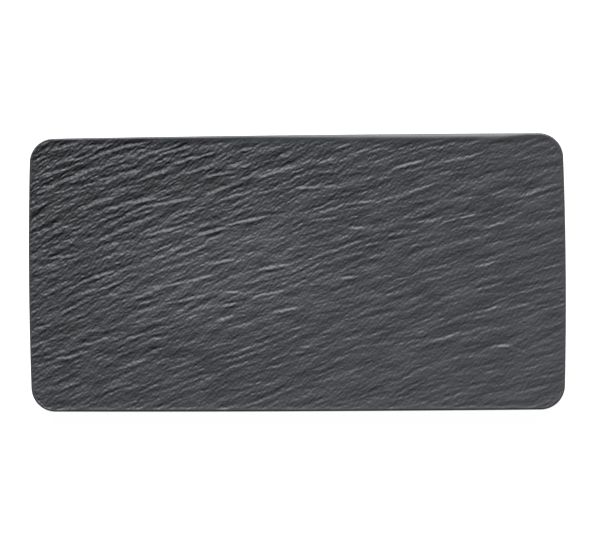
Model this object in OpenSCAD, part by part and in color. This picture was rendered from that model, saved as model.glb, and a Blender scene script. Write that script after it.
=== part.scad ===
// Rectangular slate-look serving platter: a thick ceramic slab with gently bowed sides, round corners,
// a soft edge and a riven relief on top. It stands on four rubber feet, bonded into recesses underneath.
// Millimetres. +X runs along the platter, +Y to the far side, +Z up, and the feet stand on Z = 0.

/* [Slab] */
// Length of the platter, measured at mid-width
platter_l = 350; // [280:1:450]
// Width of the platter, measured at mid-length
platter_w = 180; // [140:1:260]
// Thickness of the ceramic
slab_t = 7; // [5:0.1:12]
// Radius of the corners in plan
corner_r = 16; // [12:0.5:30]
// How far a long side bows out from end to end
long_bow = 0.6; // [0.2:0.1:3]
// How far a short side bows out from end to end
short_bow = 1.6; // [0.2:0.1:3]

/* [Edge] */
// Radius that rounds the serving face over into the rim
rim_r = 1.5; // [1:0.1:3.5]
// How far the underside curves in from the rim
undercut_run = 7; // [3:0.1:10]
// How far the underside curves up to the rim
undercut_rise = 4; // [1:0.1:6]

/* [Relief] */
// Width of the smooth lip between the rounded rim and the relief
lip_w = 0.5; // [0.3:0.1:3]
// How far in the lip runs on while it falls to the relief's flats
lip_fall_run = 2.4; // [1:0.1:5]
// How far the relief's flats lie below the lip
flats_drop = 0.2; // [0.1:0.05:0.6]
// Angle of the grain to the platter's length, in degrees at mid-length
grain_angle = 20; // [10:1:25]
// How far the grain turns from the left end to the right end, in degrees
grain_turn = 8; // [0:0.5:12]
// Share of a valley's width that its steep near side takes
steep_share = 0.34; // [0.25:0.01:0.5]
// Share of a valley's length that its two tapering ends take
taper_share = 0.5; // [0.3:0.05:0.8]

/* [Feet] */
// Diameter of a foot where it is bonded on
foot_d = 12.7; // [8:0.1:20]
// How far a foot tapers in on each side, down to its tread
foot_taper = 1.35; // [0.5:0.05:2.5]
// Height of a foot
foot_h = 3.5; // [2.5:0.1:8]
// Height of the straight flange at a foot's bonded end
flange_h = 1.1; // [0.5:0.1:1.5]
// Radius that rounds the tread's edge
tread_edge_r = 0.8; // [0.2:0.1:1]
// Thickness of the adhesive disc on a foot's back
adhesive_t = 0.2; // [0.1:0.05:0.5]
// Distance from each end of the platter to the feet's centres
foot_from_end = 30; // [22:1:60]
// Distance from each long side of the platter to the feet's centres
foot_from_side = 30; // [22:1:60]

/* [Recesses] */
// Depth of a foot's recess in the underside
recess_depth = 0.7; // [0.3:0.1:1.5]
// Gap all round between a foot and its recess
recess_gap = 0.4; // [0.1:0.1:1]

/* [Hidden] */
$fn = 64;
// The feet, by name, with the sides of the platter that each one stands near
FEET = [["front_left", -1, -1], ["front_right", 1, -1], ["rear_left", -1, 1], ["rear_right", 1, 1]];

slab_colour = [0.29, 0.295, 0.31];
foot_colour = [0.07, 0.07, 0.075];
adhesive_colour = [0.86, 0.85, 0.80];

// The slab stands on the feet, whose backs are let into it by the recess depth
recess_floor_z = foot_h + adhesive_t;
underside_z = recess_floor_z - recess_depth;
lip_z = underside_z + slab_t;
flats_z = lip_z - flats_drop;

// The main valleys of the relief, as drawn on a platter of this length and width, with which they stretch.
// Each one has the middle of its floor in x and y, its length along the grain, its width and its depth.
// They are chosen by eye from the photograph, where a dark band has a bright edge below it, and kept apart.
drawn_l = 350;
drawn_w = 180;
VALLEYS = [
    [-154, 14, 24, 9, 0.45],
    [-148, 65, 26, 9, 0.7],
    [-145, -18, 26, 9, 0.4],
    [-139, -43, 24, 9, 0.35],
    [-139, 32, 26, 9, 0.45],
    [-131, 49, 28, 9, 0.7],
    [-129, 1, 26, 9, 0.4],
    [-126, -73, 26, 9, 0.35],
    [-124, -50, 26, 9, 0.35],
    [-116, 30, 34, 10, 0.5],
    [-105, -26, 44, 11, 0.5],
    [-102, -55, 40, 11, 0.4],
    [-102, 50, 32, 10, 0.7],
    [-98, -9, 26, 9, 0.4],
    [-93, 68, 26, 9, 0.6],
    [-86, 31, 26, 9, 0.5],
    [-84, 16, 28, 9, 0.45],
    [-78, 49, 26, 10, 0.5],
    [-76, -57, 26, 9, 0.3],
    [-69, -3, 26, 9, 0.4],
    [-69, -15, 26, 9, 0.35],
    [-61, 71, 28, 9, 0.5],
    [-60, -68, 26, 9, 0.3],
    [-57, 29, 28, 9, 0.5],
    [-48, 58, 28, 9, 0.5],
    [-48, 11, 26, 9, 0.5],
    [-45, -26, 26, 9, 0.4],
    [-44, -10, 20, 8, 0.35],
    [-33, -47, 26, 9, 0.35],
    [-29, 36, 24, 9, 0.4],
    [-20, -11, 30, 10, 0.45],
    [-15, 68, 34, 10, 0.5],
    [-15, 7, 26, 9, 0.45],
    [-9, -22, 34, 10, 0.4],
    [8, -45, 26, 9, 0.3],
    [13, 59, 28, 9, 0.35],
    [18, 39, 26, 9, 0.35],
    [20, 74, 22, 9, 0.4],
    [34, 0, 28, 9, 0.35],
    [34, -63, 44, 11, 0.3],
    [39, 32, 26, 9, 0.35],
    [45, 49, 26, 9, 0.35],
    [56, 15, 30, 11, 0.4],
    [70, -38, 48, 11, 0.35],
    [72, 73, 30, 10, 0.4],
    [74, 55, 30, 10, 0.3],
    [76, -18, 28, 9, 0.3],
    [91, 34, 26, 9, 0.3],
    [100, -40, 34, 10, 0.35],
    [102, 74, 26, 9, 0.35],
    [106, -11, 30, 10, 0.3],
    [116, 61, 34, 10, 0.3],
    [118, 6, 30, 10, 0.3],
    [127, -22, 26, 9, 0.3],
    [128, 33, 34, 10, 0.35],
    [136, -45, 26, 9, 0.35],
    [148, -58, 26, 9, 0.3],
    [152, 54, 28, 9, 0.25]
];
// How far a valley's cutter reaches above the flats, on the slopes of its own sides
above_flats = 0.05;

// A thin slab still keeps a short upright band between its two rounded edges
rim_band_min = 0.3;
rim_rise = min(rim_r, slab_t / 2);
under_rise = min(undercut_rise, slab_t - rim_rise - rim_band_min);

// Plan outline: each side is one shallow arc, and a corner arc is tangent to the two sides that it joins
half_l = platter_l / 2;
half_w = platter_w / 2;
long_r = (half_l * half_l + long_bow * long_bow) / (2 * long_bow);
short_r = (half_w * half_w + short_bow * short_bow) / (2 * short_bow);
long_centre = [0, half_w - long_r];
short_centre = [half_l - short_r, 0];
corner_centre = meeting_point(long_centre, long_r - corner_r, short_centre, short_r - corner_r);
corner_start = atan2(corner_centre.y - short_centre.y, corner_centre.x - short_centre.x);
corner_end = atan2(corner_centre.y - long_centre.y, corner_centre.x - long_centre.x);

// Straight steps that each arc of the slab is drawn with
side_steps = 10;
corner_steps = 16;
edge_steps = 7;

// Where the circles about p and q meet, to the right of the line from p to q
function meeting_point(p, p_r, q, q_r) =
    let (gap = norm(q - p), along = (q - p) / gap, right = [along.y, -along.x])
    let (reach = (p_r * p_r - q_r * q_r + gap * gap) / (2 * gap))
    p + reach * along + sqrt(p_r * p_r - reach * reach) * right;

// Points of an arc, without its last one
function arc(centre, r, start, end, steps) =
    [for (i = [0 : steps - 1]) let (a = start + (end - start) * i / steps) centre + r * [cos(a), sin(a)]];

// Half of the plan outline, set in from the rim, from the right end's front corner round to the left end
function half_outline(inset) = concat(
    arc(short_centre, short_r - inset, -corner_start, corner_start, side_steps),
    arc(corner_centre, corner_r - inset, corner_start, corner_end, corner_steps),
    arc(long_centre, long_r - inset, corner_end, 180 - corner_end, side_steps),
    arc([-corner_centre.x, corner_centre.y], corner_r - inset,
        180 - corner_end, 180 - corner_start, corner_steps)
);

// The whole outline: its second half is the first one turned half round
function outline(inset) = let (half = half_outline(inset)) concat(half, -half);

// The rim's section, from the underside up over the lip to the flats, as [inset from the rim, height]
function rim_section() = concat(
    [for (i = [0 : edge_steps]) let (a = 90 * i / edge_steps)
        [undercut_run * (1 - sin(a)), underside_z + under_rise * (1 - cos(a))]],
    [for (i = [0 : edge_steps]) let (a = 90 * i / edge_steps)
        [rim_r * (1 - cos(a)), lip_z - rim_rise * (1 - sin(a))]],
    [[rim_r + lip_w, lip_z], [rim_r + lip_w + lip_fall_run, flats_z]]
);

// The slab before it is cut: one outline for each point of the rim's section, closed top and bottom
module slab_blank() {
    section = rim_section();
    rings = [for (s = section) [for (p = outline(s[0])) [p.x, p.y, s[1]]]];
    n = len(rings[0]);
    last = len(rings) - 1;
    walls = [for (k = [0 : last - 1], i = [0 : n - 1]) let (j = (i + 1) % n)
        [k * n + i, (k + 1) * n + i, (k + 1) * n + j, k * n + j]];
    underside = [for (i = [0 : n - 1]) i];
    flats = [for (i = [n - 1 : -1 : 0]) last * n + i];
    polyhedron(points = [for (r = rings) each r], faces = concat([underside, flats], walls));
}

// A point of one valley, from its place along and across the grain, stretched to the platter's size
function valley_point(v, p, z) =
    let (turn = grain_angle - grain_turn * v[0] / drawn_l)
    let (x = v[0] + p.x * cos(turn) - p.y * sin(turn), y = v[1] + p.x * sin(turn) + p.y * cos(turn))
    [x * platter_l / drawn_l, y * platter_w / drawn_w, z];

// One valley's cutter: a straight floor line with a steep near side, a long far side and tapering ends
module valley(v) {
    length = v[2];
    width = v[3];
    depth = v[4];
    reach = 1 + above_flats / depth;
    floor_end = length * (1 - taper_share) / 2;
    tip = floor_end + reach * length * taper_share / 2;
    near = -reach * width * steep_share;
    far = reach * width * (1 - steep_share);
    edge = [[-tip, 0], [-floor_end, near], [floor_end, near], [tip, 0], [floor_end, far], [-floor_end, far]];
    floor_line = [[-floor_end, 0], [floor_end, 0]];
    polyhedron(
        points = concat(
            [for (p = edge) valley_point(v, p, flats_z + above_flats)],
            [for (p = floor_line) valley_point(v, p, flats_z - depth)]
        ),
        faces = [[5, 4, 3, 2, 1, 0], [0, 1, 6], [1, 2, 7, 6], [2, 3, 7], [3, 4, 7], [4, 5, 6, 7], [5, 0, 6]]
    );
}

// Puts its children at one foot's place
module at_foot(f) {
    translate([f[1] * (half_l - foot_from_end), f[2] * (half_w - foot_from_side), 0]) children();
}

module platter_slab() {
    overcut = 1;
    color(slab_colour) difference() {
        slab_blank();
        for (f = FEET) at_foot(f)
            translate([0, 0, underside_z - overcut])
                cylinder(r = foot_d / 2 + recess_gap, h = recess_depth + overcut);
        for (v = VALLEYS) valley(v);
    }
}

// Half section of a foot: a flange at its back, tapering down to a tread with a rounded edge
module foot_section() {
    flank = atan2(foot_h - flange_h, foot_taper);
    tangent = tread_edge_r * tan(flank / 2);
    tread_r = foot_d / 2 - foot_taper;
    polygon([
        [0, 0],
        [tread_r - tangent, 0],
        [tread_r + tangent * cos(flank), tangent * sin(flank)],
        [foot_d / 2, foot_h - flange_h],
        [foot_d / 2, foot_h],
        [0, foot_h]
    ]);
    translate([tread_r - tangent, tread_edge_r]) circle(r = tread_edge_r);
}

module foot(f) {
    color(foot_colour) at_foot(f) rotate_extrude() foot_section();
}

module adhesive_disc(f) {
    color(adhesive_colour) at_foot(f) translate([0, 0, foot_h]) cylinder(r = foot_d / 2, h = adhesive_t);
}

platter_slab();
for (f = FEET) {
    foot(f);
    adhesive_disc(f);
}
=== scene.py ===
import math

import bpy
import numpy as np
from mathutils import Matrix, Vector
from mathutils.bvhtree import BVHTree
from mathutils.geometry import delaunay_2d_cdt


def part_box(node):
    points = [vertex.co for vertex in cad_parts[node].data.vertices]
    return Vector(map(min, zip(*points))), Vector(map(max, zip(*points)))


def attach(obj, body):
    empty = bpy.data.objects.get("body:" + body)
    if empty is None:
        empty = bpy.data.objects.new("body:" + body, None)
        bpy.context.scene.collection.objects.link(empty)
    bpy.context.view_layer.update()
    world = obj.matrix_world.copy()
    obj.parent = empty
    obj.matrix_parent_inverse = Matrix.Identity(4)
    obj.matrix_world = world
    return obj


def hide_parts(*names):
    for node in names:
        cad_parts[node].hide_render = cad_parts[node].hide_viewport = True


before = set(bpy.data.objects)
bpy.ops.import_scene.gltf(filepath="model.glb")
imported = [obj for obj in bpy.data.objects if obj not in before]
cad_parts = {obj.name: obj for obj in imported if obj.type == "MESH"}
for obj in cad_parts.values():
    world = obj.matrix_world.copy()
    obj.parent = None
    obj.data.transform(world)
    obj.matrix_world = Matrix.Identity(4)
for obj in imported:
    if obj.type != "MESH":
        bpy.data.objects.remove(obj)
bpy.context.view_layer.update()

MM = 0.001

# Slab: its box comes from the frame, and its plan and section are the solid's
slab_low, slab_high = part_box("platter_slab")
HALF_L = slab_high.x
HALF_W = slab_high.y
UNDERSIDE_Z = slab_low.z
SERVING_Z = slab_high.z
CORNER_R = 16 * MM
LONG_BOW = 0.6 * MM
SHORT_BOW = 1.6 * MM
RIM_R = 1.5 * MM
UNDERCUT_RUN = 7 * MM
UNDERCUT_RISE = 4 * MM

# Feet: their places and sizes come from the frame, and the lip of each recess is rounded
FEET = ("front_left", "front_right", "rear_left", "rear_right")
RECESS_GAP = 0.4 * MM
RECESS_LIP_R = 0.25 * MM
RECESS_LIP_ANGLES = (0, 30, 60, 90)

# Mesh steps: the grid's diagonal runs along the grain of the relief
GRID_COLUMNS = 228
GRID_ROWS = 344
RIM_STEPS = 7
UNDERCUT_STEPS = 6
RECESS_STEPS = 48

# Heights: how near two count as the same, and from how far above the solid's valleys are looked at
SAME_HEIGHT = 0.01 * MM
LOOK_DOWN_FROM = 1 * MM

# Middle of a noise's values, and the span of them over which a roughness changes
NOISE_MIDDLE = 0.5
NOISE_SPAN = (0.3, 0.7)

# From here to the glaze, lengths are in millimetres, angles in degrees, and a swing goes both ways about zero

# Grain: its turn from the platter's length and its bend, then how far it wanders, waves and is jagged
GRAIN_ANGLE = 20.0
GRAIN_BEND = 1.97e-4
GRAIN_WANDER, GRAIN_WANDER_SIZE = 2.5, 60.0
GRAIN_WAVE, GRAIN_WAVE_LENGTH, GRAIN_WAVE_WIDTH = 1.5, 22.0, 7.0
GRAIN_JAG, GRAIN_JAG_SIZE = 0.45, 3.6

# Flakes, partly cut into terraces, and the small ridges on them
FLAKE_LENGTH, FLAKE_WIDTH = 28.0, 5.4
FLAKE_SWING = 1.27
FLAKE_LEAN = -0.15
FLAKE_ROUGHNESS = 0.45
FLAKE_LEVELS = 9
FLAKE_STEPPED = 0.4
FLAKE_RISER = 0.6
RIDGE_LENGTH, RIDGE_WIDTH = 14.0, 2.4
RIDGE_SWING = 0.7
RIDGE_LEAN = -0.15

# Depth: how far the flakes and ridges are sunk, their share of it at each corner, and the fall behind the lip
RELIEF_SINK = 0.7
FAR_LEFT_DEPTH, FAR_RIGHT_DEPTH = 1.0, 0.27
NEAR_LEFT_DEPTH, NEAR_RIGHT_DEPTH = 0.45, 0.25
LIP_FALL = 0.1

# Start of the relief, in from the edge: where along the far side and the ends it lies further in or out
SMOOTH_RIM = 0.9
UNEVEN_RIM, UNEVEN_RIM_SIZE = 0.8, 8.0
FAR_SIDE = (60.0, 85.0)
FAR_RIGHT_RISE, FAR_RIGHT_FALL = (-140.0, 100.0), (168.0, 130.0)
FAR_LEFT_RISE = (-60.0, -120.0)
ENDS_RISE = (138.0, 160.0)
FAR_RIGHT_SETBACK = 1.2
FAR_LEFT_SETBACK = -1.1
ENDS_SETBACK = -0.8
NEAR_FADE = 2.6
FAR_FADE = 5.0

# Bevel along the right of the far side
BEVEL_WIDTH = 3.9
BEVEL_WIDTH_LEAST = 0.1
BEVEL_SLOPE = 0.66

# Slow irregular wave: share and turn in radians of each wave in it, their phase, and the height they reach
WANDER_WAVES = ((1.0, 0.3), (0.62, 1.7), (0.41, 2.6), (0.27, 0.9))
WANDER_PHASE = 5
WANDER_PEAK = 1.4

# Valleys of the solid: swing, length and turn in radians of their wander in x and in y, and their rounding
VALLEY_SHIFTS = ((2.0, 40.0, 0.4), (1.0, 26.0, 2.1))
VALLEY_ROUNDING = 2

# Main flake edges: reach across, reach along as a share of the length, and wander, with its turn in radians
EDGE_REACH = 0.95
EDGE_RUN = 0.85
EDGE_WANDER, EDGE_WAVE, EDGE_TURN = 0.25, 14.0, 1.1

# Main flake edges, which catch the light, chosen from the photograph:
# middle in x and y, length, turn from the platter's length, and height
FLAKE_EDGES = (
    (-166, -34, 9, 12, 0.3), (-165, 58, 10, 10, 0.35), (-164, 19, 10, 25, 0.35),
    (-156, 12, 20, 8, 0.4), (-154, -54, 6, 10, 0.35), (-151, 62, 10, 25, 0.35),
    (-150, 75, 18, 24, 0.45), (-148, -9, 10, 22, 0.35), (-147, 53, 12, 20, 0.35),
    (-145, -21, 18, 27, 0.35), (-145, -71, 14, 15, 0.2), (-141, -78, 12, 25, 0.25),
    (-138, -45, 7, 10, 0.35), (-137, -12, 14, 25, 0.35), (-129, 47, 14, 20, 0.5),
    (-129, -1, 20, 18, 0.5), (-125, 63, 10, 5, 0.4), (-124, -8, 16, 22, 0.4),
    (-124, -75, 20, 20, 0.25), (-116, 28, 20, 24, 0.4), (-112, -34, 8, 12, 0.3),
    (-107, 40, 18, 25, 0.4), (-106, -58, 20, 22, 0.3), (-104, 85, 30, 12, 0.4),
    (-99, 48, 12, 10, 0.5), (-98, -18, 14, 15, 0.3), (-96, -12, 20, 22, 0.4),
    (-92, -50, 12, 20, 0.3), (-91, 65, 18, 20, 0.5), (-87, 28, 20, 16, 0.45),
    (-81, 47, 22, 10, 0.5), (-81, -7, 18, 12, 0.4), (-81, -56, 12, 10, 0.25),
    (-77, 81, 20, 16, 0.55), (-69, -16, 22, 12, 0.35), (-67, 41, 14, 18, 0.3),
    (-64, 76, 30, 14, 0.5), (-64, -3, 16, 12, 0.35), (-63, 17, 18, 25, 0.35),
    (-60, 69, 18, 18, 0.5), (-53, 28, 22, 9, 0.45), (-49, 65, 16, 10, 0.4),
    (-49, 55, 16, 20, 0.5), (-48, 8, 14, 14, 0.45), (-45, -29, 8, 15, 0.45),
    (-44, -20, 14, 8, 0.3), (-43, -12, 10, 3, 0.35), (-39, 71, 11, 22, 0.35),
    (-34, 34, 20, 12, 0.4), (-33, -49, 6, 20, 0.35), (-32, 70, 8, 15, 0.35),
    (-30, 63, 8, 18, 0.35), (-17, -13, 22, 12, 0.35), (-15, 65, 16, 15, 0.5),
    (-15, 4, 16, 10, 0.4), (-8, -24, 18, 9, 0.4), (0, -52, 10, 15, 0.3),
    (1, 66, 10, 15, 0.3), (6, -48, 6, 10, 0.35), (12, 56, 20, 3, 0.3),
    (19, 35, 12, 8, 0.25), (21, 73, 9, 20, 0.4), (22, 66, 9, 10, 0.3),
    (32, 83, 8, 15, 0.4), (35, -3, 10, 5, 0.4), (40, 29, 7, 0, 0.35),
    (41, 78, 12, 18, 0.4), (46, 46, 10, 8, 0.35), (60, 62, 10, 15, 0.2),
    (65, 49, 12, 12, 0.2), (74, 70, 14, 15, 0.3), (77, -44, 8, 12, 0.15),
    (80, 54, 20, 17, 0.2), (91, -20, 10, 5, 0.1), (96, 64, 12, 22, 0.2),
    (99, -42, 16, 20, 0.2), (101, 83, 8, 15, 0.25), (104, 73, 14, 10, 0.25),
    (104, -13, 14, 15, 0.1), (114, 48, 8, 8, 0.15), (120, 4, 10, 12, 0.15),
    (127, -24, 7, 28, 0.2), (129, 30, 18, 20, 0.2), (135, -48, 8, 3, 0.3),
    (136, 60, 10, 10, 0.15), (142, -50, 9, -14, 0.2), (144, -22, 12, 15, 0.1),
    (155, 52, 14, 18, 0.1),
)

# Glaze: its tones in the hollows and on the crests, and the slow mottle between them
GLAZE_HOLLOW = (0.0426, 0.0438, 0.0471, 1.0)
GLAZE_CREST = (0.0662, 0.0680, 0.0731, 1.0)
CREST_HEIGHT = 0.6
CREST_SHARE = 0.6
MOTTLE_SIZE = 28.0
MOTTLE_ROUGHNESS = 0.6

# Painted light: a paler pool of light painted left of the middle, and all painted a little paler to the right
# and to the near side
LIGHT_POOL_MIDDLE = (-50.0, 2.0)
LIGHT_POOL_REACH = (60.0, 32.0)
LIGHT_POOL_GAIN = 0.35
LIGHT_POOL_END = 2.5
PAINTED_LIGHT_RIGHT = 0.16
PAINTED_LIGHT_NEAR = 0.14
SERVING_FACE_RELIEF = 0.1

# Sheen of the glaze: its tint and strength, its roughness over the specks, and what the relief adds to that
SHEEN_TINT = (0.914, 0.932, 0.995, 1.0)
SHEEN_LEVEL = 0.58
SPECK_SIZE = 0.9
SPECK_ROUGHNESS = 0.6
SPECK_SHARE = 0.5
GLAZE_ROUGHNESS = (0.42, 0.52)
RELIEF_ROUGHNESS, RELIEF_ROUGHNESS_FULL = 0.06, 0.5

# Finest relief, in the glaze's bump: crumbs that sway, grit that is full where the relief is, and pitting
CRUMB_SWING = 0.5
CRUMB_LENGTH = 4.0
CRUMB_WIDTH = 1.75
CRUMB_TURN = 23.0
CRUMB_ROUGHNESS = 0.12
CRUMB_SWAY, CRUMB_WAVE = 1.4, 6.0
GRIT_SWING, GRIT_SIZE = 0.12, 1.65
GRIT_FULL = 0.45
PITTING, PITTING_SIZE = 0.015, 0.7

# Rubber and adhesive film: two tones, roughness over the cloud, and bump
RUBBER_DARK, RUBBER_PALE = (0.016, 0.016, 0.017, 1.0), (0.030, 0.030, 0.032, 1.0)
RUBBER_CLOUD_SIZE = 4.0
RUBBER_ROUGHNESS = (0.62, 0.8)
RUBBER_GRAIN, RUBBER_GRAIN_SIZE = 0.04, 0.35
FILM_DARK, FILM_PALE = (0.62, 0.60, 0.53, 1.0), (0.74, 0.72, 0.66, 1.0)
FILM_CLOUD_SIZE = 2.0
FILM_ROUGHNESS = (0.3, 0.45)
FILM_BUMP = 0.02

# Sockets of a Mix node that mixes colours, which share their names with others
MIX_SHARE, MIX_FIRST, MIX_SECOND, MIX_RESULT = 0, 6, 7, 2

# Camera: almost straight above, a little towards the right end
IMAGE_W, IMAGE_H = 595, 544
CAMERA_DISTANCE = 1.2
CAMERA_TILT = 0.048
CAMERA_ROLL = 0.0079
PIXELS_PER_MM = 1.5365
CENTRE_PIXEL = (295.5, 273.2)
OUTLINE_Z = SERVING_Z - RIM_R
SENSOR_WIDTH = 36.0
CLIP_NEAR, CLIP_FAR = 0.01, 10.0

# Studio, in metres and watts: one wide softbox on the far side, a dim surround and a white floor
WHITE = (1.0, 1.0, 1.0, 1.0)
KEY_PLACE = (-0.6, 5.2, 3.4)
KEY_SIZE = (5.5, 2.2)
KEY_POWER = 710.0
SURROUND = 0.05
FLOOR_HALF = 3.0
FLOOR_TONE = (0.85, 0.85, 0.85, 1.0)
FLOOR_ROUGHNESS = 0.9
FLOOR_GLOW = 0.95


class NodeMaker:
    """Adds nodes to one tree. Most calls give back the new node's output, ready to feed the next one."""

    def __init__(self, tree):
        self.tree = tree

    def node(self, kind, inputs=(), **settings):
        made = self.tree.nodes.new(kind)
        for name, value in settings.items():
            setattr(made, name, value)
        for key, value in dict(inputs).items():
            if isinstance(value, bpy.types.NodeSocket):
                self.link(value, made.inputs[key])
            else:
                made.inputs[key].default_value = value
        return made

    def link(self, output, socket):
        self.tree.links.new(output, socket)

    def math(self, operation, *values):
        return self.node("ShaderNodeMath", enumerate(values), operation=operation).outputs[0]

    def add(self, *values):
        total = values[0]
        for value in values[1:]:
            total = self.math("ADD", total, value)
        return total

    def times(self, *values):
        total = values[0]
        for value in values[1:]:
            total = self.math("MULTIPLY", total, value)
        return total

    def less(self, a, b):
        return self.math("SUBTRACT", a, b)

    def at_least(self, value, least):
        return self.math("MAXIMUM", value, least)

    def ramp(self, value, low, high, out_low=0.0, out_high=1.0, smooth=True):
        inputs = {"Value": value, "From Min": low, "From Max": high, "To Min": out_low, "To Max": out_high}
        kind = "SMOOTHSTEP" if smooth else "LINEAR"
        return self.node("ShaderNodeMapRange", inputs, interpolation_type=kind, clamp=True).outputs[0]

    def falling(self, start, end, share):
        """From start to end, by an even ratio for each step of the share."""
        return self.times(start, self.math("POWER", self.math("DIVIDE", end, start), share))

    def vector(self, x, y, z=0.0):
        return self.node("ShaderNodeCombineXYZ", {"X": x, "Y": y, "Z": z}).outputs[0]

    def split(self, vector):
        return self.node("ShaderNodeSeparateXYZ", {"Vector": vector}).outputs

    def scaled(self, vector, factor):
        inputs = {"Vector": vector, "Scale": factor}
        return self.node("ShaderNodeVectorMath", inputs, operation="SCALE").outputs["Vector"]

    def noise(self, vector, detail=2.0, roughness=0.5, scale=1.0, dimensions="2D"):
        inputs = {"Vector": vector, "Scale": scale, "Detail": detail, "Roughness": roughness}
        return self.node("ShaderNodeTexNoise", inputs, noise_dimensions=dimensions).outputs["Fac"]

    def wave_about_zero(self, vector, swing, **noise):
        """Noise that swings about zero by up to about the given amount each way."""
        return self.times(self.less(self.noise(vector, **noise), NOISE_MIDDLE), 2 * swing)

    def stored(self, name):
        """A number that the mesh holds for each point, in geometry nodes."""
        made = self.node("GeometryNodeInputNamedAttribute", {"Name": name}, data_type="FLOAT")
        return made.outputs["Attribute"]

    def mixed(self, share, first, second):
        inputs = {MIX_SHARE: share, MIX_FIRST: first, MIX_SECOND: second}
        return self.node("ShaderNodeMix", inputs, data_type="RGBA").outputs[MIX_RESULT]

    def bump(self, height):
        """Bump from a height in millimetres."""
        inputs = {"Height": self.times(height, MM), "Strength": 1.0, "Distance": 1.0}
        return self.node("ShaderNodeBump", inputs).outputs[0]


# Plan outline: each side is one shallow arc, and the corner arcs are tangent to the sides that they join
def bow_radius(half_length, bow):
    return (half_length ** 2 + bow ** 2) / (2 * bow)


def meeting_point(p, p_r, q, q_r):
    """Where the circles about p and q meet, to the right of the line from p to q."""
    gap = np.linalg.norm(q - p)
    along = (q - p) / gap
    right = np.array([along[1], -along[0]])
    reach = (p_r ** 2 - q_r ** 2 + gap ** 2) / (2 * gap)
    return p + reach * along + math.sqrt(p_r ** 2 - reach ** 2) * right


long_r = bow_radius(HALF_L, LONG_BOW)
short_r = bow_radius(HALF_W, SHORT_BOW)
long_centre = np.array([0.0, HALF_W - long_r])
short_centre = np.array([HALF_L - short_r, 0.0])
corner_centre = meeting_point(long_centre, long_r - CORNER_R, short_centre, short_r - CORNER_R)
corner_start = math.atan2(*(corner_centre - short_centre)[::-1])
corner_end = math.atan2(*(corner_centre - long_centre)[::-1])


def side_samples(arcs, steps):
    """Even steps along a run of arcs, each as centre x, centre y, radius and angle, without the last."""
    ends = np.cumsum([0.0] + [radius * (end - start) for _, radius, start, end in arcs])
    samples = []
    for place in np.linspace(0, ends[-1], steps, endpoint=False):
        k = min(np.searchsorted(ends, place, side="right") - 1, len(arcs) - 1)
        centre, radius, start, _ = arcs[k]
        samples.append((*centre, radius, start + (place - ends[k]) / radius))
    return np.array(samples)


def half_turned(samples):
    return samples * (-1, -1, 1, 1) + (0, 0, 0, math.pi)


def outline_samples():
    """The outline, anticlockwise from the middle of the front right corner's arc."""
    x, y = corner_centre
    eighth = math.pi / 4
    right = side_samples([
        ((x, -y), CORNER_R, -eighth, -corner_start),
        (short_centre, short_r, -corner_start, corner_start),
        ((x, y), CORNER_R, corner_start, eighth),
    ], GRID_ROWS)
    rear = side_samples([
        ((x, y), CORNER_R, eighth, corner_end),
        (long_centre, long_r, corner_end, math.pi - corner_end),
        ((-x, y), CORNER_R, math.pi - corner_end, math.pi - eighth),
    ], GRID_COLUMNS)
    return np.concatenate([right, rear, half_turned(right), half_turned(rear)])


outline = outline_samples()


def ring(inset, z):
    """The outline set in from the rim, at one height."""
    reach = outline[:, 2] - inset
    x = outline[:, 0] + reach * np.cos(outline[:, 3])
    y = outline[:, 1] + reach * np.sin(outline[:, 3])
    return np.stack([x, y, np.full(len(x), z)], axis=1)


def distance_from_rim(points):
    """How far points lie in from the outline, in plan."""
    across = np.abs(points[:, :2])
    from_long = long_r - np.linalg.norm(across - long_centre, axis=1)
    from_short = short_r - np.linalg.norm(across - short_centre, axis=1)
    from_corner = CORNER_R - np.linalg.norm(across - corner_centre, axis=1)
    in_corner = np.all(across > corner_centre, axis=1)
    return np.where(in_corner, from_corner, np.minimum(from_long, from_short))


def serving_grid():
    """The serving face as a grid of points stretched between the four sides of its edge."""
    edge = ring(RIM_R, SERVING_Z)
    corners = np.cumsum([0, GRID_ROWS, GRID_COLUMNS, GRID_ROWS])
    closed = np.concatenate([edge, edge[:1]])
    right = closed[corners[0]:corners[1] + 1]
    rear = closed[corners[1]:corners[2] + 1][::-1]
    left = closed[corners[2]:corners[3] + 1][::-1]
    front = closed[corners[3]:]
    s = np.linspace(0, 1, GRID_COLUMNS + 1)[None, :, None]
    t = np.linspace(0, 1, GRID_ROWS + 1)[:, None, None]
    between_front_and_rear = (1 - t) * front[None] + t * rear[None]
    between_ends = (1 - s) * left[:, None] + s * right[:, None]
    between_front_corners = (1 - s) * front[0] + s * front[-1]
    between_rear_corners = (1 - s) * rear[0] + s * rear[-1]
    between_corners = (1 - t) * between_front_corners + t * between_rear_corners
    return between_front_and_rear + between_ends - between_corners


def grid_faces(index):
    """Triangles of a grid of point numbers, split along the diagonal that rises to the right."""
    a, b = index[:-1, :-1], index[:-1, 1:]
    c, d = index[1:, 1:], index[1:, :-1]
    lower = np.stack([a, b, c], axis=-1)
    upper = np.stack([a, c, d], axis=-1)
    # Two corner cells are split the other way, so that no triangle has all its points on the edge
    for j, i in ((0, -1), (-1, 0)):
        lower[j, i] = a[j, i], b[j, i], d[j, i]
        upper[j, i] = b[j, i], c[j, i], d[j, i]
    return np.concatenate([lower.reshape(-1, 3), upper.reshape(-1, 3)])


def band_faces(inner, outer):
    """Triangles between two closed rings of point numbers, facing up where the second ring is the wider."""
    inner_next, outer_next = np.roll(inner, -1), np.roll(outer, -1)
    return np.concatenate([
        np.stack([inner, outer, outer_next], axis=1),
        np.stack([inner, outer_next, inner_next], axis=1),
    ])


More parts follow.
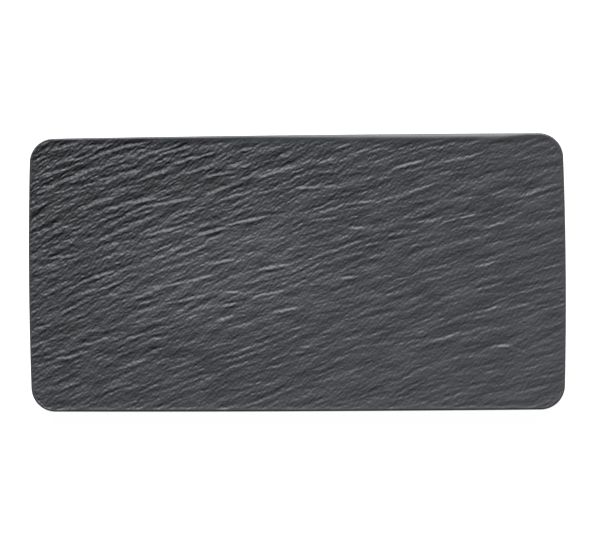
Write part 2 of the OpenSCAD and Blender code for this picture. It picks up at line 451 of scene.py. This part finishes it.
def rim_section():
    """The rim below the serving face, as inset and height, from the top edge round to the underside."""
    rim = np.radians(np.linspace(90, 0, RIM_STEPS + 1)[1:])
    under = np.radians(np.linspace(90, 0, UNDERCUT_STEPS + 1))
    insets = np.concatenate([RIM_R * (1 - np.cos(rim)), UNDERCUT_RUN * (1 - np.sin(under))])
    heights = np.concatenate([
        SERVING_Z - RIM_R * (1 - np.sin(rim)),
        UNDERSIDE_Z + UNDERCUT_RISE * (1 - np.cos(under)),
    ])
    return zip(insets, heights)


def circle(centre, radius, z, steps):
    turn = np.linspace(0, 2 * math.pi, steps, endpoint=False)
    x = centre[0] + radius * np.cos(turn)
    y = centre[1] + radius * np.sin(turn)
    return np.stack([x, y, np.full(steps, z)], axis=1)


class MeshParts:
    """Points and faces gathered for one mesh."""

    def __init__(self):
        self.points = []
        self.faces = []
        self.count = 0

    def put(self, points):
        numbers = np.arange(self.count, self.count + len(points))
        self.points.append(points)
        self.count += len(points)
        return numbers

    def face(self, faces):
        self.faces.append(np.asarray(faces))

    def mesh(self, name):
        made = bpy.data.meshes.new(name)
        made.from_pydata(np.concatenate(self.points).tolist(), [], np.concatenate(self.faces).tolist())
        made.shade_smooth()
        return made


def recess_rings(parts, foot):
    """One foot's recess, from its lip up to its floor. Gives back the lip's point numbers."""
    low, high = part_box("foot_" + foot)
    _, disc_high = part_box("adhesive_disc_" + foot)
    centre = (low + high) / 2
    radius = (high.x - low.x) / 2 + RECESS_GAP
    section = []
    for angle in np.radians(RECESS_LIP_ANGLES):
        widening = RECESS_LIP_R * (1 - math.sin(angle))
        section.append((radius + widening, UNDERSIDE_Z + RECESS_LIP_R * (1 - math.cos(angle))))
    section.append((radius, disc_high.z))
    rings = [parts.put(circle(centre, r, z, RECESS_STEPS)) for r, z in section]
    for outer, inner in zip(rings, rings[1:]):
        parts.face(band_faces(outer, inner))
    middle = parts.put(np.array([[centre.x, centre.y, disc_high.z]]))
    fan = np.stack([np.roll(rings[-1], -1), rings[-1], np.full(RECESS_STEPS, middle[0])], axis=1)
    parts.face(fan)
    return rings[0]


def underside_faces(parts, edge, lips):
    """Triangles of the flat underside between its outer edge and the lips of the recesses."""
    whole_hull = 0
    same_place = 1e-9
    loops = [edge] + lips
    numbers = np.concatenate(loops)
    flat = np.concatenate(parts.points)[numbers][:, :2]
    starts = np.cumsum([0] + [len(loop) for loop in loops])
    edges = []
    for start, end in zip(starts, starts[1:]):
        edges += [(k, k + 1 if k + 1 < end else start) for k in range(start, end)]
    corners, _, triangles, sources, _, _ = delaunay_2d_cdt(
        [Vector(p) for p in flat], edges, [], whole_hull, same_place)
    holes = [flat[start:end].mean(axis=0) for start, end in zip(starts[1:], starts[2:])]
    hole_r = np.linalg.norm(flat[starts[1]] - holes[0])
    kept = []
    for triangle in triangles:
        centroid = np.mean([corners[k] for k in triangle], axis=0)
        if min(np.linalg.norm(centroid - hole) for hole in holes) > hole_r:
            kept.append([numbers[sources[k][0]] for k in reversed(triangle)])
    return kept


def wander(places, swing, length, turn):
    """A slow irregular wave over the platter, added up from waves of unlike lengths and directions."""
    total = np.zeros(len(places))
    for share, angle in WANDER_WAVES:
        direction = np.array([math.cos(turn + angle), math.sin(turn + angle)])
        phase = WANDER_PHASE * angle
        total += share * np.sin(2 * math.pi * (places @ direction) / (length * share) + phase)
    return total * swing / WANDER_PEAK


def softened(values, times):
    """Values on a grid, each one averaged with its neighbours a number of times."""
    for _ in range(times):
        for axis in (0, 1):
            ahead = np.roll(values, 1, axis)
            behind = np.roll(values, -1, axis)
            values = (ahead + 2 * values + behind) / 4
    return values


def valley_depths(points, grid_shape):
    """How far the solid's valleys lie below its flats, in millimetres, under points of the serving face."""
    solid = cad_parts["platter_slab"].data
    tree = BVHTree.FromPolygons([v.co for v in solid.vertices], [tuple(p.vertices) for p in solid.polygons])
    places = points[:, :2] / MM
    places = places + np.stack([wander(places, *shift) for shift in VALLEY_SHIFTS], axis=1)
    above = SERVING_Z + LOOK_DOWN_FROM
    down = Vector((0, 0, -1))
    heights = np.empty(len(places))
    for k, (x, y) in enumerate(places * MM):
        hit = tree.ray_cast(Vector((x, y, above)), down)[0]
        heights[k] = hit.z if hit else SERVING_Z
    flats = tree.ray_cast(Vector((0, 0, above)), down)[0].z
    depths = np.maximum(flats - heights, 0.0) / MM
    return softened(depths.reshape(grid_shape), VALLEY_ROUNDING).ravel()


def edge_depths(points):
    """The main flake edges: each has a crest on its near side and a hollow on its far side, and thins out."""
    places = points[:, :2] / MM
    sway = wander(places, EDGE_WANDER, EDGE_WAVE, EDGE_TURN)
    total = np.zeros(len(places))
    for x, y, length, turn, height in FLAKE_EDGES:
        cosine, sine = math.cos(math.radians(turn)), math.sin(math.radians(turn))
        from_x, from_y = places[:, 0] - x, places[:, 1] - y
        along = (from_x * cosine + from_y * sine) / (EDGE_RUN * length)
        across = (from_y * cosine - from_x * sine + sway) / EDGE_REACH
        ends = np.maximum(1 - along ** 2, 0) ** 2
        total += height * ends * across * np.exp((1 - across ** 2) / 2)
    return total


def store(mesh, name, values):
    """Puts one number on each point of a mesh."""
    mesh.attributes.new(name, "FLOAT", "POINT").data.foreach_set("value", values.astype(np.float32))


def slab_shell():
    """The slab before its relief is cut: a closed shell that stores each point's rim distance and hollow."""
    parts = MeshParts()
    grid = serving_grid()
    index = parts.put(grid.reshape(-1, 3)).reshape(GRID_ROWS + 1, GRID_COLUMNS + 1)
    parts.face(grid_faces(index))
    above = np.concatenate([index[:-1, -1], index[-1, :0:-1], index[:0:-1, 0], index[0, :-1]])
    for inset, z in rim_section():
        below = parts.put(ring(inset, z))
        parts.face(band_faces(above, below))
        above = below
    lips = [recess_rings(parts, foot) for foot in FEET]
    parts.face(underside_faces(parts, above, lips))
    mesh = parts.mesh("platter_shell")
    points = np.concatenate(parts.points)
    top = points[:, 2] > SERVING_Z - RIM_R - SAME_HEIGHT
    store(mesh, "from_rim", np.where(top, distance_from_rim(points), 0.0))
    serving = points[:index.size]
    hollow = valley_depths(serving, index.shape) + edge_depths(serving)
    store(mesh, "hollow", np.concatenate([hollow, np.zeros(len(points) - index.size)]))
    return mesh


def grain_place(make, place, angle, bend):
    """The place along and across the grain, which turns slowly, wanders, waves and is jagged at its edges."""
    x, y, _ = make.split(place)
    turn = make.math("RADIANS", angle)
    cosine, sine = make.math("COSINE", turn), make.math("SINE", turn)
    along = make.add(make.times(x, cosine), make.times(y, sine))
    across = make.less(make.times(y, cosine), make.times(x, sine))
    across = make.add(across, make.times(x, x, bend))
    wandering = make.wave_about_zero(place, GRAIN_WANDER, scale=1 / GRAIN_WANDER_SIZE, detail=1.0)
    across = make.add(across, wandering)
    wave_x = make.times(along, 1 / GRAIN_WAVE_LENGTH)
    wave_y = make.times(across, 1 / GRAIN_WAVE_WIDTH)
    across = make.add(across, make.wave_about_zero(make.vector(wave_x, wave_y), GRAIN_WAVE, detail=2.0))
    jagged = make.wave_about_zero(place, GRAIN_JAG, scale=1 / GRAIN_JAG_SIZE, detail=0.0)
    return along, make.add(across, jagged)


def leaning_place(make, along, across, length, width, lean, detail):
    """The place counted in a pattern's own lengths and widths, shifted so that its marks lean."""
    long_step = make.math("DIVIDE", along, length)
    wide_step = make.math("DIVIDE", across, width)
    shift = make.wave_about_zero(make.vector(long_step, wide_step), lean, detail=detail)
    return make.vector(long_step, make.add(wide_step, shift))


def flake_height(make, place):
    """Flakes split off along cleavage planes: sloping, and partly cut into terraces."""
    sloping = make.noise(place, detail=1.0, roughness=FLAKE_ROUGHNESS)
    levels = make.times(sloping, FLAKE_LEVELS)
    riser = make.ramp(make.math("FRACT", levels), 0.0, FLAKE_RISER)
    terraces = make.times(make.add(make.math("FLOOR", levels), riser), 1 / FLAKE_LEVELS)
    stepped = make.add(make.times(terraces, FLAKE_STEPPED), make.times(sloping, 1 - FLAKE_STEPPED))
    return make.times(make.less(stepped, NOISE_MIDDLE), 2 * FLAKE_SWING)


def relief_depth(make, x, y):
    """The relief's share of its full depth, which falls from the far left to the near right."""
    to_right = make.ramp(x, -HALF_L / MM, HALF_L / MM, smooth=False)
    to_near = make.ramp(y, HALF_W / MM, -HALF_W / MM, smooth=False)
    far_depth = make.falling(FAR_LEFT_DEPTH, FAR_RIGHT_DEPTH, to_right)
    near_depth = make.falling(NEAR_LEFT_DEPTH, NEAR_RIGHT_DEPTH, to_right)
    return make.falling(far_depth, near_depth, to_near)


def relief_cover(make, place, rim_distance, smooth_rim, far, far_right):
    """How fully the relief is there: none at the rim, and all of it in from an uneven line."""
    x, _, _ = make.split(place)
    uneven = make.wave_about_zero(place, UNEVEN_RIM, scale=1 / UNEVEN_RIM_SIZE, detail=3.0)
    far_left = make.times(far, make.ramp(x, *FAR_LEFT_RISE))
    ends = make.ramp(make.math("ABSOLUTE", x), *ENDS_RISE)
    start = make.add(
        smooth_rim, uneven, make.times(far_right, FAR_RIGHT_SETBACK),
        make.times(far_left, FAR_LEFT_SETBACK), make.times(ends, ENDS_SETBACK))
    fade = make.ramp(far, 0.0, 1.0, NEAR_FADE, FAR_FADE, smooth=False)
    return make.ramp(make.less(rim_distance, start), 0.0, fade)


def bevel_drop(make, rim_distance, far_right):
    """How far the bevel of the far side lies below the rounding that the rim has all round."""
    rim_r = RIM_R / MM
    inside_rounding = make.at_least(make.less(rim_r, rim_distance), 0.0)
    upright = make.math("SQRT", make.less(rim_r ** 2, make.times(inside_rounding, inside_rounding)))
    rounded = make.less(rim_r, upright)
    width = make.at_least(make.times(far_right, BEVEL_WIDTH), BEVEL_WIDTH_LEAST)
    inside_bevel = make.at_least(make.less(width, rim_distance), 0.0)
    sloped = make.math("DIVIDE", make.times(inside_bevel, inside_bevel, BEVEL_SLOPE / 2), width)
    return make.at_least(make.less(sloped, rounded), 0.0)


def relief_tree():
    """Geometry nodes that cut the riven relief down into the serving face."""
    tree = bpy.data.node_groups.new("riven_slate_relief", "GeometryNodeTree")
    sockets = tree.interface
    sockets.new_socket("Shell", in_out="INPUT", socket_type="NodeSocketGeometry")
    sockets.new_socket("Glaze", in_out="INPUT", socket_type="NodeSocketMaterial")
    for name in ("Flake length", "Flake width", "Ridge length", "Ridge width",
                 "Grain angle", "Grain bend", "Smooth rim"):
        sockets.new_socket(name, in_out="INPUT", socket_type="NodeSocketFloat")
    sockets.new_socket("Slab", in_out="OUTPUT", socket_type="NodeSocketGeometry")
    make = NodeMaker(tree)
    given = make.node("NodeGroupInput").outputs

    # Height of the flakes and ridges, which follow the grain
    place = make.scaled(make.node("GeometryNodeInputPosition").outputs[0], 1 / MM)
    x, y, _ = make.split(place)
    along, across = grain_place(make, place, given["Grain angle"], given["Grain bend"])
    flake_place = leaning_place(
        make, along, across, given["Flake length"], given["Flake width"], FLAKE_LEAN, detail=1.0)
    ridge_place = leaning_place(
        make, along, across, given["Ridge length"], given["Ridge width"], RIDGE_LEAN, detail=0.0)
    ridges = make.wave_about_zero(ridge_place, RIDGE_SWING, detail=0.0)
    height = make.add(flake_height(make, flake_place), ridges)

    # How far the face drops: the relief, the main valleys, which the solid has too, and the main flake edges
    depth = relief_depth(make, x, y)
    drop = make.times(make.at_least(make.less(RELIEF_SINK, height), 0.0), depth)
    drop = make.at_least(make.add(drop, make.stored("hollow"), LIP_FALL), 0.0)

    # The smooth rim, and the bevel along the right of the far side
    rim_distance = make.times(make.stored("from_rim"), 1 / MM)
    far = make.ramp(y, *FAR_SIDE)
    far_right = make.times(far, make.ramp(x, *FAR_RIGHT_RISE), make.ramp(x, *FAR_RIGHT_FALL))
    cover = relief_cover(make, place, rim_distance, given["Smooth rim"], far, far_right)
    inward = make.scaled(make.node("GeometryNodeInputNormal").outputs[0], make.times(drop, cover, -MM))
    bevel = make.vector(0.0, 0.0, make.times(bevel_drop(make, rim_distance, far_right), -MM))
    offset = make.node("ShaderNodeVectorMath", {0: inward, 1: bevel}, operation="ADD").outputs[0]

    # What the glaze needs to know: the relief's height, with the rim as high as a crest, and its amount
    rim_height = make.ramp(cover, 0.0, 1.0, CREST_HEIGHT, 0.0, smooth=False)
    stores = (
        ("height", make.add(make.times(height, cover), rim_height)),
        ("relief", make.times(cover, depth)),
    )
    shell = given["Shell"]
    for name, value in stores:
        inputs = {"Geometry": shell, "Name": name, "Value": value}
        stored = make.node("GeometryNodeStoreNamedAttribute", inputs, data_type="FLOAT", domain="POINT")
        shell = stored.outputs[0]
    shell = make.node("GeometryNodeSetPosition", {"Geometry": shell, "Offset": offset}).outputs[0]
    shell = make.node("GeometryNodeRealizeInstances", {"Geometry": shell}).outputs[0]
    shell = make.node("GeometryNodeSetMaterial", {"Geometry": shell, "Material": given["Glaze"]}).outputs[0]
    make.node("NodeGroupOutput", {"Slab": shell})
    return tree


def with_tree(name, mesh, tree, **inputs):
    """A plain mesh object: the given mesh after a geometry nodes tree has worked on it."""
    base = bpy.data.objects.new(name + "_base", mesh)
    bpy.context.scene.collection.objects.link(base)
    modifier = base.modifiers.new("tree", "NODES")
    modifier.node_group = tree
    given = [item for item in tree.interface.items_tree if item.in_out == "INPUT"]
    identifiers = {item.name: item.identifier for item in given}
    for key, value in inputs.items():
        modifier[identifiers[key.replace("_", " ")]] = value
    graph = bpy.context.evaluated_depsgraph_get()
    made = bpy.data.meshes.new_from_object(base.evaluated_get(graph), depsgraph=graph)
    made.name = name
    bpy.data.objects.remove(base)
    piece = bpy.data.objects.new(name, made)
    bpy.context.scene.collection.objects.link(piece)
    return piece


def new_material(name):
    """A material with its node maker, its main shader's inputs and the place on the piece in millimetres."""
    material = bpy.data.materials.new(name)
    material.use_nodes = True
    make = NodeMaker(material.node_tree)
    shader = material.node_tree.nodes["Principled BSDF"]
    place = make.scaled(make.node("ShaderNodeTexCoord").outputs["Object"], 1 / MM)
    return material, make, shader.inputs, place


def glaze_tone(make, place, height, relief, mottle):
    """Darker in the hollows and greyer on the crests, under painted light: a paler pool left of the middle,
    and paler to the right and to the near side.
    """
    crest = make.ramp(height, -CREST_HEIGHT, CREST_HEIGHT)
    share = make.add(make.times(crest, CREST_SHARE), make.times(mottle, 1 - CREST_SHARE))
    x, y, _ = make.split(place)
    # Painted light: a paler pool of light painted left of the middle, on the serving face only
    light_pool_x = make.times(make.less(x, LIGHT_POOL_MIDDLE[0]), 1 / LIGHT_POOL_REACH[0])
    light_pool_y = make.times(make.less(y, LIGHT_POOL_MIDDLE[1]), 1 / LIGHT_POOL_REACH[1])
    from_light_pool = make.add(make.times(light_pool_x, light_pool_x), make.times(light_pool_y, light_pool_y))
    cloud = make.ramp(from_light_pool, 0.0, LIGHT_POOL_END, LIGHT_POOL_GAIN, 0.0)
    on_top = make.ramp(relief, 0.0, SERVING_FACE_RELIEF)
    # Painted light: the glaze is painted a little paler to the right and to the near side
    to_right = make.times(x, PAINTED_LIGHT_RIGHT * MM / HALF_L)
    to_near = make.times(y, -PAINTED_LIGHT_NEAR * MM / HALF_W)
    painted_light = make.add(1.0, make.times(cloud, on_top), to_right, to_near)
    return make.scaled(make.mixed(share, GLAZE_HOLLOW, GLAZE_CREST), painted_light)


def glaze_roughness(make, place, relief, mottle):
    """Uneven over the specks and the mottle, and a little rougher on the relief."""
    speck = make.noise(place, scale=1 / SPECK_SIZE, detail=3.0, roughness=SPECK_ROUGHNESS, dimensions="3D")
    uneven = make.add(make.times(speck, SPECK_SHARE), make.times(mottle, 1 - SPECK_SHARE))
    added = make.ramp(relief, 0.0, RELIEF_ROUGHNESS_FULL, 0.0, RELIEF_ROUGHNESS)
    return make.add(make.ramp(uneven, *NOISE_SPAN, *GLAZE_ROUGHNESS), added)


def glaze_bump(make, place, relief):
    """Crumbs, which are short wavy edges more turned than the grain, with fine grit and pitting."""
    x, y, _ = make.split(place)
    sway = make.wave_about_zero(place, CRUMB_SWAY, scale=1 / CRUMB_WAVE, detail=0.0)
    turned = make.node("ShaderNodeMapping", {
        "Vector": make.vector(x, make.add(y, sway)),
        "Rotation": (0.0, 0.0, math.radians(GRAIN_ANGLE + CRUMB_TURN)),
        "Scale": (CRUMB_LENGTH, CRUMB_WIDTH, 1.0),
    }, vector_type="TEXTURE").outputs[0]
    crumbs = make.wave_about_zero(turned, CRUMB_SWING, detail=1.0, roughness=CRUMB_ROUGHNESS)
    grit = make.wave_about_zero(place, 1.0, scale=1 / GRIT_SIZE, detail=0.0)
    grit_swing = make.ramp(relief, 0.0, GRIT_FULL, 0.0, GRIT_SWING, smooth=False)
    pitting = make.noise(place, scale=1 / PITTING_SIZE, detail=2.0, dimensions="3D")
    fine = make.add(make.times(crumbs, relief), make.times(grit, grit_swing), make.times(pitting, PITTING))
    return make.bump(fine)


def slate_glaze():
    """Matt anthracite glaze, crumbly and gritty over the relief."""
    material, make, surface, place = new_material("slate_glaze")
    height = make.node("ShaderNodeAttribute", attribute_name="height").outputs["Fac"]
    relief = make.node("ShaderNodeAttribute", attribute_name="relief").outputs["Fac"]
    mottle = make.noise(
        place, scale=1 / MOTTLE_SIZE, detail=4.0, roughness=MOTTLE_ROUGHNESS, dimensions="3D")
    make.link(glaze_tone(make, place, height, relief, mottle), surface["Base Color"])
    make.link(glaze_roughness(make, place, relief, mottle), surface["Roughness"])
    make.link(glaze_bump(make, place, relief), surface["Normal"])
    surface["Specular Tint"].default_value = SHEEN_TINT
    surface["Specular IOR Level"].default_value = SHEEN_LEVEL
    return material


def foot_rubber():
    """Moulded black rubber with a fine matt grain."""
    material, make, surface, place = new_material("foot_rubber")
    cloud = make.noise(place, scale=1 / RUBBER_CLOUD_SIZE, detail=3.0, dimensions="3D")
    grain = make.noise(place, scale=1 / RUBBER_GRAIN_SIZE, detail=2.0, dimensions="3D")
    make.link(make.mixed(cloud, RUBBER_DARK, RUBBER_PALE), surface["Base Color"])
    make.link(make.ramp(cloud, *NOISE_SPAN, *RUBBER_ROUGHNESS), surface["Roughness"])
    make.link(make.bump(make.times(grain, RUBBER_GRAIN)), surface["Normal"])
    return material


def adhesive_film():
    """Thin acrylic film, slightly cloudy."""
    material, make, surface, place = new_material("adhesive_film")
    cloud = make.noise(place, scale=1 / FILM_CLOUD_SIZE, detail=3.0, dimensions="3D")
    make.link(make.mixed(cloud, FILM_DARK, FILM_PALE), surface["Base Color"])
    make.link(make.ramp(cloud, *NOISE_SPAN, *FILM_ROUGHNESS), surface["Roughness"])
    make.link(make.bump(make.times(cloud, FILM_BUMP)), surface["Normal"])
    return material


def dress_node(node, material):
    """Gives a solid of the frame its material."""
    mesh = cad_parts[node].data
    mesh.materials.clear()
    mesh.materials.append(material)


def place_camera():
    camera_data = bpy.data.cameras.new("overhead_camera")
    camera = bpy.data.objects.new("overhead_camera", camera_data)
    bpy.context.scene.collection.objects.link(camera)
    bpy.context.scene.camera = camera
    pixels_per_metre = PIXELS_PER_MM / MM
    camera_data.sensor_width = SENSOR_WIDTH
    camera_data.lens = SENSOR_WIDTH * pixels_per_metre * CAMERA_DISTANCE / IMAGE_W
    camera_data.clip_start = CLIP_NEAR
    camera_data.clip_end = CLIP_FAR
    turn = Matrix.Rotation(CAMERA_TILT, 3, "Y") @ Matrix.Rotation(-CAMERA_ROLL, 3, "Z")
    right_shift = (IMAGE_W / 2 - CENTRE_PIXEL[0]) / pixels_per_metre
    up_shift = (CENTRE_PIXEL[1] - IMAGE_H / 2) / pixels_per_metre
    camera.location = Vector((0, 0, OUTLINE_Z)) + turn @ Vector((right_shift, up_shift, CAMERA_DISTANCE))
    camera.rotation_euler = turn.to_euler()


def soft_light(name, location, size, power):
    """A rectangular area light that points at the platter's middle."""
    light = bpy.data.lights.new(name, "AREA")
    light.shape = "RECTANGLE"
    light.size, light.size_y = size
    light.energy = power
    lamp = bpy.data.objects.new(name, light)
    bpy.context.scene.collection.objects.link(lamp)
    lamp.visible_camera = False
    lamp.location = location
    lamp.rotation_euler = (-Vector(location)).to_track_quat("-Z", "Y").to_euler()


def studio_world():
    """A surround that is white to the camera and dim to the platter."""
    world = bpy.data.worlds.new("studio")
    bpy.context.scene.world = world
    world.use_nodes = True
    make = NodeMaker(world.node_tree)
    background = world.node_tree.nodes["Background"].inputs
    background["Color"].default_value = WHITE
    seen = make.node("ShaderNodeLightPath").outputs["Is Camera Ray"]
    make.link(make.ramp(seen, 0.0, 1.0, SURROUND, 1.0, smooth=False), background["Strength"])


def white_floor():
    """A wide white floor, white to the camera and in reflections, that still takes the platter's shadow."""
    mesh = bpy.data.meshes.new("floor")
    corners = [(FLOOR_HALF * x, FLOOR_HALF * y, 0) for x, y in ((-1, -1), (1, -1), (1, 1), (-1, 1))]
    mesh.from_pydata(corners, [], [(0, 1, 2, 3)])
    floor = bpy.data.objects.new("floor", mesh)
    bpy.context.scene.collection.objects.link(floor)
    material = bpy.data.materials.new("white_floor")
    material.use_nodes = True
    make = NodeMaker(material.node_tree)
    surface = material.node_tree.nodes["Principled BSDF"].inputs
    surface["Base Color"].default_value = FLOOR_TONE
    surface["Roughness"].default_value = FLOOR_ROUGHNESS
    surface["Emission Color"].default_value = WHITE
    path = make.node("ShaderNodeLightPath").outputs
    seen = make.at_least(path["Is Camera Ray"], path["Is Glossy Ray"])
    seen = make.at_least(seen, path["Is Transmission Ray"])
    make.link(make.times(seen, FLOOR_GLOW), surface["Emission Strength"])
    mesh.materials.append(material)


bpy.context.scene.view_settings.view_transform = "Standard"
place_camera()
studio_world()
soft_light("key_light", KEY_PLACE, KEY_SIZE, KEY_POWER)
white_floor()

slab = with_tree(
    "slate_platter", slab_shell(), relief_tree(), Glaze=slate_glaze(),
    Flake_length=FLAKE_LENGTH, Flake_width=FLAKE_WIDTH, Ridge_length=RIDGE_LENGTH, Ridge_width=RIDGE_WIDTH,
    Grain_angle=GRAIN_ANGLE, Grain_bend=GRAIN_BEND, Smooth_rim=SMOOTH_RIM)
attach(slab, "root")
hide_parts("platter_slab")

rubber = foot_rubber()
film = adhesive_film()
for foot in FEET:
    dress_node("foot_" + foot, rubber)
    dress_node("adhesive_disc_" + foot, film)
